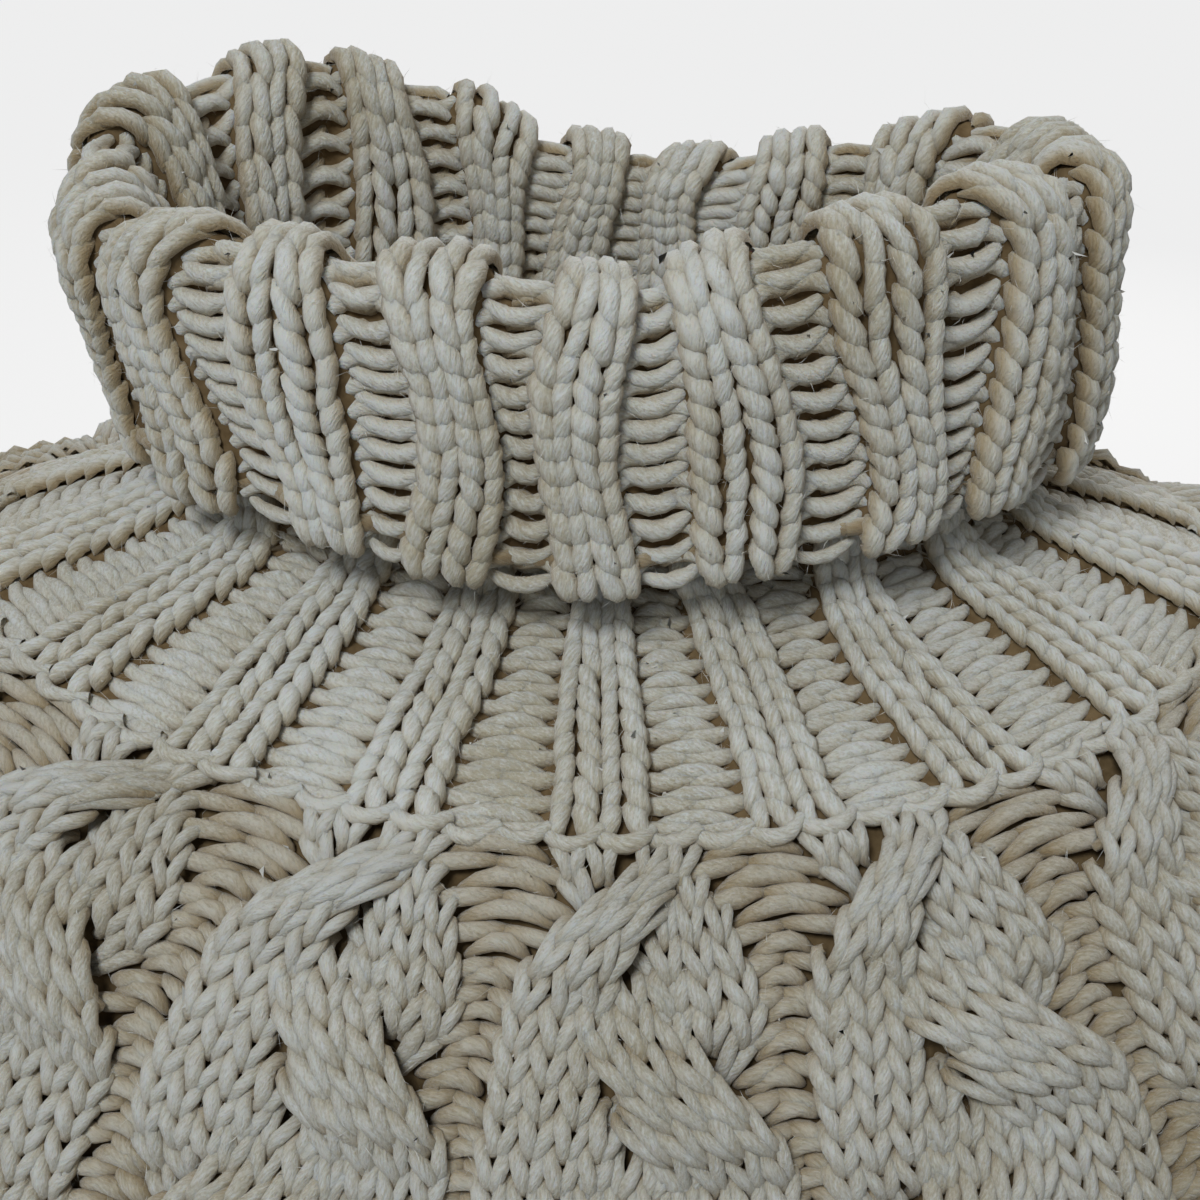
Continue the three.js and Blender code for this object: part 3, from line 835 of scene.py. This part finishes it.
def gutter_paths(cable, rows, kind, steps, rng):
    """Purl bumps between two cables. kind is the foot on the left, the head in the middle or the
    foot on the right, as -1, 0 or 1."""
    u = np.sin(0.5 * math.pi * np.linspace(-1, 1, steps))[None, :]
    down = rows[:, None]
    left, right = cable_edges(down)
    width = repeat_width(down) + left - right
    middle = (right + repeat_width(down) + left) / 2
    wale = np.maximum(width / 2, 7.4) * (1 + 0.4 * soft_step(22, 10, down))
    if kind:
        x, y, rise = 0.56 * kind + 0.64 * u, -0.48 - 0.32 * kind * u + 0.08 * (1 - u**2), 0.3
    else:
        x, y, rise = 0.68 * u, 0.5 * (1 - u**2) + 0.04 * u - 0.12, 0.7
    place_d = down - y * row_height(down) + rng.normal(0, 0.25, (len(rows), 1))
    place_x = middle + wale * x + rng.normal(0, 0.3, (len(rows), 1))
    wave = 1.2 - 2.2 * np.abs(u) ** 2.4
    out = rise + wave + rng.normal(0, 0.15, (len(rows), 1))
    paths, normals = place_on_body(cable, place_x, place_d, out)
    plump = (1 + rng.normal(0, 0.05, (len(rows), 1))) * (0.25 + 0.75 * np.sqrt(1 - 0.96 * u**2))
    radius = np.interp(down, [0, 420], [1.7, 2.05]) * plump
    # the last is how far under the top the bump counts, which sets its painted shade
    return paths, normals, radius, 2.15 - wave + radius


def yarn_of(path, sides, rng):
    seed = rng.randint(MANY_SEEDS)
    return leaves(*path, seed) if sides == 3 else strands(*path, sides, 240, seed)


def by_fineness(cable, down):
    """Which places down a cable have fine yarn, plain yarn and leaves."""
    near = in_view(cable, down)
    return near, ~near & (down < LEAVES_FROM), down >= LEAVES_FROM


def knit_body():
    """All the body's yarn, in three finenesses."""
    found = [], [], []
    rows = body_rows()
    for cable in range(CABLES):
        rng = np.random.RandomState(SEED + 100 + cable)
        stitches = knit_columns(rows, rng)
        for leg in (-1, 1):
            grades = zip(by_fineness(cable, stitches[:, 1]), found, (8, 3, 3), (5, 4, 3))
            for chosen, yarn, steps, sides in grades:
                if chosen.any():
                    path = leg_paths(cable, stitches[chosen], leg, steps, rng)
                    yarn.append(yarn_of(path, sides, rng))
        for chosen, yarn, steps, sides in zip(by_fineness(cable, rows), found, (8, 4, 3), (7, 4, 3)):
            for kind in (-1, 0, 1):
                if chosen.any():
                    path = gutter_paths(cable, rows[chosen], kind, steps, rng)
                    yarn.append(yarn_of(path, sides, rng))
    return [joined(yarn) for yarn in found]


def cable_place(turn):
    """A turn of the body as a place across the nearest cable, in spaces between cables."""
    return (turn * CABLES - CABLE_PHASE + 0.5) % 1 - 0.5


def body_shell():
    """The cloth between the loops: a thin tube that follows the cables, plain inside."""
    turn = np.arange(CABLES * 22) / (CABLES * 22)
    down = np.concatenate([np.arange(0.4, 170, 4.6), np.linspace(176, BODY_DOWN, 30)])
    grid_d, grid_t = np.meshgrid(down, turn, indexing="ij")
    across = cable_place(grid_t) * repeat_width(grid_d)
    nearby = [(x, d) for x in (-2.4, 0, 2.4) for d in (-3, 0, 3)]
    top = np.minimum.reduce([cable_top(across + x, np.maximum(grid_d + d, 0)) for x, d in nearby])
    out = np.maximum(top - 1.7, -0.9) * (1 - soft_step(6, 0, grid_d))
    outer = cabled.place(body_at(grid_d), grid_t, out)[0]
    grid_d, grid_t = np.meshgrid(np.linspace(BODY_DOWN, 0.4, 20), turn, indexing="ij")
    inner = cabled.place(body_at(grid_d), grid_t, np.full(grid_d.shape, -1.6))[0]
    points, quads = closed_tube(np.concatenate([outer, inner]))
    return points, quads[:, ::-1]


# the shell under the loops is in painted shade, dark brown
add_mesh("body_cloth", *body_shell(), "body", cable_painted_shade_backing)
body_parts = (("body_stitches_front", 2), ("body_stitches_back", 1), ("body_stitches_low", 1))
for (name, parts), (points, quads, yarn, deep) in zip(body_parts, knit_body()):
    for part in range(parts):
        chosen = quads[part * len(quads) // parts : (part + 1) * len(quads) // parts]
        used, again = np.unique(chosen, return_inverse=True)
        label = name if parts == 1 else f"{name}_{part + 1}"
        add_yarn(label, (points[used], again.reshape(-1, 4), yarn[used], deep[used]), "body", cable_wool)

# ---------------------------------------------------------------- loose fibres

LONG_SHARE = 0.02  # of the fibres that are twice as long


def fuzz(name, source, count, node, chosen):
    """Loose fibres that stand off a piece's yarn, each a thin bent sliver."""
    rng = np.random.RandomState(SEED + len(name) + count)
    mesh = source.data
    co = np.empty(len(mesh.vertices) * 3, np.float32)
    mesh.vertices.foreach_get("co", co)
    co = co.reshape(-1, 3) / MM
    quads = np.empty(len(mesh.loops), np.int32)
    mesh.loops.foreach_get("vertex_index", quads)
    quads = quads.reshape(-1, 4)
    deep = np.empty(len(mesh.vertices), np.float32)
    mesh.attributes["deep"].data.foreach_get("value", deep)
    weight = chosen(co[quads].mean(1)) * np.interp(deep[quads].mean(1), [0, 0.2, 0.5, 0.7], [0.5, 1, 1, 0])
    a, b, c, d = (co[quads[:, k]] for k in range(4))
    weight = weight * np.linalg.norm(np.cross(c - a, d - b), axis=1)
    picked = quads[rng.choice(len(quads), count, p=weight / weight.sum())]
    a, b, c, d = (co[picked[:, k]] for k in range(4))
    out = np.cross(c - a, d - b)
    out /= np.linalg.norm(out, axis=1, keepdims=True) + 1e-9
    along = (d - a) / (np.linalg.norm(d - a, axis=1, keepdims=True) + 1e-9)
    along = along * rng.choice([-1, 1], (count, 1))
    start = (a + b + c + d) / 4
    length = 0.9 + 2.6 * rng.rand(count, 1) ** 2
    length = np.where(rng.rand(count, 1) < LONG_SHARE, length * 2, length)
    lift = rng.uniform(0.15, 0.9, (count, 1))
    ahead = along * rng.uniform(0.2, 1, (count, 1)) + out * lift + rng.normal(0, 0.45, (count, 3))
    ahead /= np.linalg.norm(ahead, axis=1, keepdims=True)
    bend = rng.normal(0, 0.4, (count, 3)) - out * 0.3 * lift
    across = np.cross(ahead, rng.normal(0, 1, (count, 3)))
    across /= np.linalg.norm(across, axis=1, keepdims=True)
    half = across * rng.uniform(0.025, 0.06, (count, 1))
    middle = start + length * (0.5 * ahead + 0.25 * bend)
    end = start + length * (ahead + bend)
    points = np.stack([middle - half, end, middle + half, start], 1).reshape(-1, 3)
    add_mesh(name, points, np.arange(count * 4).reshape(-1, 4), node, loose_wool)


# ---------------------------------------------------------------- seams and edges


def chain(cloth, at, count, first, out, sag, radius, over, steps=8, sides=8, seed=0):
    """A row of linked loops: each hangs between its neighbours and lies over the next. at is its
    row, first is where its first loop lies, in loops, out gives the yarn's height at a turn, and
    sag and over are how far on and how far out the middle of a loop hangs."""
    rng = np.random.RandomState(SEED + seed)
    u = np.linspace(-1, 1, steps)[None, :]
    k = np.arange(count)[:, None]
    turn = (k + first + u * 0.62 + rng.normal(0, 0.04, (count, 1))) / count
    hang = (1 - u**2) * sag * (1 + rng.normal(0, 0.12, (count, 1)))
    rise = out(turn) + over * (1 - u**2) + 0.5 * u
    paths, normals = cloth.place(at + hang, turn, rise)
    plump = radius * (0.72 + 0.28 * (1 - u**2)) * (1 + rng.normal(0, 0.06, (count, 1)))
    return strands(paths, normals, plump, plump + 0.4, sides, seed=seed)


def ridge_out(turn):
    return 1.8 + 0.5 * rib_out(turn * RIBS, 0)


def edge_out(turn):
    return 0.6 * rib_out((turn - COLLAR_TWIST) * RIBS, EDGE_AT) + 0.6


def hem_out(turn):
    down = np.full_like(turn, BODY_DOWN)
    return np.maximum(cable_top(cable_place(turn) * repeat_width(down), down) - 0.6, 0.2) * 0.6


ridge = chain(ribbed, 0.16, WALES, 0.5, ridge_out, -0.2, 1.6, 0.8, seed=31)
add_yarn("ridge_chain", ridge, "yoke_collar", rib_wool)
edge = chain(ribbed, 11.86, WALES, 0.5, edge_out, 0, 1.6, -0.4, seed=37)
add_yarn("collar_edge", edge, "yoke_collar", rib_wool)
hem = chain(cabled, 8.97, 300, 0, hem_out, 0.03, 2.0, 0.5, steps=6, sides=6, seed=41)
add_yarn("hem_chain", hem, "body", cable_wool)


def in_front(points):
    return (points[:, 1] < -20) & (points[:, 2] > -130)


for name, source, count, node, chosen in (
    ("yoke_fuzz", "yoke_stitches", 22000, "yoke_collar", in_front),
    ("fall_fuzz", "fall_stitches", 30000, "yoke_collar", lambda points: points[:, 1] < 70),
    ("stand_fuzz", "stand_stitches", 8000, "yoke_collar", lambda points: points[:, 1] > -10),
    ("body_fuzz_1", "body_stitches_front_1", 15000, "body", in_front),
    ("body_fuzz_2", "body_stitches_front_2", 15000, "body", in_front),
):
    fuzz(name, pieces[source], count, node, chosen)


# ---------------------------------------------------------------- camera, floor and light

scene = bpy.context.scene
camera_data = bpy.data.cameras.new("camera")
camera_data.lens = 48
camera_data.sensor_width = 36
camera_data.clip_start = 0.01
camera = bpy.data.objects.new("camera", camera_data)
camera.matrix_world = (
    Matrix.Translation((0, -0.318, 0.137))
    @ Matrix.Rotation(math.radians(63), 4, "X")
    @ Matrix.Rotation(math.radians(1.5), 4, "Z")
)
scene.collection.objects.link(camera)
scene.camera = camera

FLOOR_Z = -0.6
FLOOR_REACH = 8.0
FLOOR_SEGMENTS = 64
# a flat disc whose rim sweeps up all round
sweep = [(0.0, 0.0), (FLOOR_REACH, 0.0)]
for a in np.linspace(0.15, 0.5 * math.pi, 10):
    sweep.append((FLOOR_REACH * (1 + math.sin(a)), FLOOR_REACH * (1 - math.cos(a))))
floor_points, floor_faces = [], []
for k in range(FLOOR_SEGMENTS):
    angle = 2 * math.pi * k / FLOOR_SEGMENTS
    for away, up in sweep:
        floor_points.append((away * math.cos(angle), away * math.sin(angle), FLOOR_Z + up))
    for j in range(len(sweep) - 1):
        here, after = k * len(sweep) + j, (k + 1) % FLOOR_SEGMENTS * len(sweep) + j
        floor_faces.append((here, here + 1, after + 1, after))
floor_mesh = bpy.data.meshes.new("floor")
floor_mesh.from_pydata(floor_points, [], floor_faces)
floor_mesh.polygons.foreach_set("use_smooth", [True] * len(floor_faces))
floor_material = new_material(
    "pale_floor",
    Base_Color=(0.1, 0.1, 0.1, 1),
    Roughness=1.0,
    Specular_IOR_Level=0.0,
    Emission_Color=(1, 1, 1, 1),
    Emission_Strength=0.835,
)[0]
floor_mesh.materials.append(floor_material)
floor = bpy.data.objects.new("floor", floor_mesh)
scene.collection.objects.link(floor)
floor.visible_diffuse = False
floor.visible_glossy = False
floor.visible_shadow = False

world = bpy.data.worlds.new("world")
world.use_nodes = True
background = world.node_tree.nodes["Background"]
background.inputs["Color"].default_value = (0.9, 0.96, 1.0, 1)
background.inputs["Strength"].default_value = 0.2
scene.world = world


def area_light(name, place, aim, size, power, color):
    data = bpy.data.lights.new(name, "AREA")
    data.shape = "DISK"
    data.size = size
    data.energy = power
    data.color = color
    light = bpy.data.objects.new(name, data)
    away = np.subtract(place, aim)
    away = away / np.linalg.norm(away)
    yaw = math.atan2(away[0], -away[1])
    pitch = math.acos(away[2])
    light.matrix_world = (
        Matrix.Translation(place) @ Matrix.Rotation(yaw, 4, "Z") @ Matrix.Rotation(pitch, 4, "X")
    )
    scene.collection.objects.link(light)


area_light("key", (-0.35, -0.95, 1.05), (0, 0, 0), 0.45, 10.1, (0.9, 0.955, 1))
area_light("top", (0.3, 0.3, 1.6), (0, 0, 0), 1.4, 1.6, (1, 0.93, 0.82))
area_light("back", (0.5, 2.2, 0.7), (0, 0, -0.25), 1.6, 20.0, (1, 0.97, 0.92))

scene.view_settings.view_transform = "Standard"
